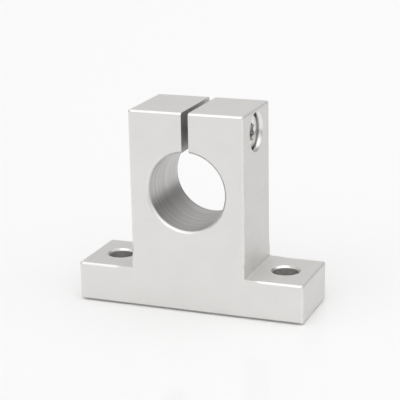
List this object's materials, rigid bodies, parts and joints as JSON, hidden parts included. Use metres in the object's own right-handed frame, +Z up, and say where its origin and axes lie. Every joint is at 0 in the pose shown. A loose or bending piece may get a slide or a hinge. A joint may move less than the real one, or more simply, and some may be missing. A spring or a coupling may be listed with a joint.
{
  "type": "shaft support block",
  "caption": "Upright block with a split bore that clamps a round shaft, bolt holes in its feet and a recessed socket head screw across the split.",
  "frame": {"origin": "centre of the footprint, on the face that bolts down", "axes": "+X across the feet, towards the head of the clamp screw; +Y along the shaft; +Z up"},
  "size_m": [0.06, 0.02, 0.051],
  "materials": {
    "block": "machined, fine matt, clear anodised",
    "clamp_screw": "bright zinc-plated or stainless steel"
  },
  "bodies": {
    "block": {"block": "block"},
    "clamp_screw": {"clamp_screw": "clamp_screw"}
  },
  "joints": [
    {"name": "clamp_screw_turn", "type": "hinge", "parent": "block", "child": "clamp_screw", "pos_m": [0.0088, 0, 0.0452], "axis": [1, 0, 0], "range_deg": [0, 4635]}
  ]
}
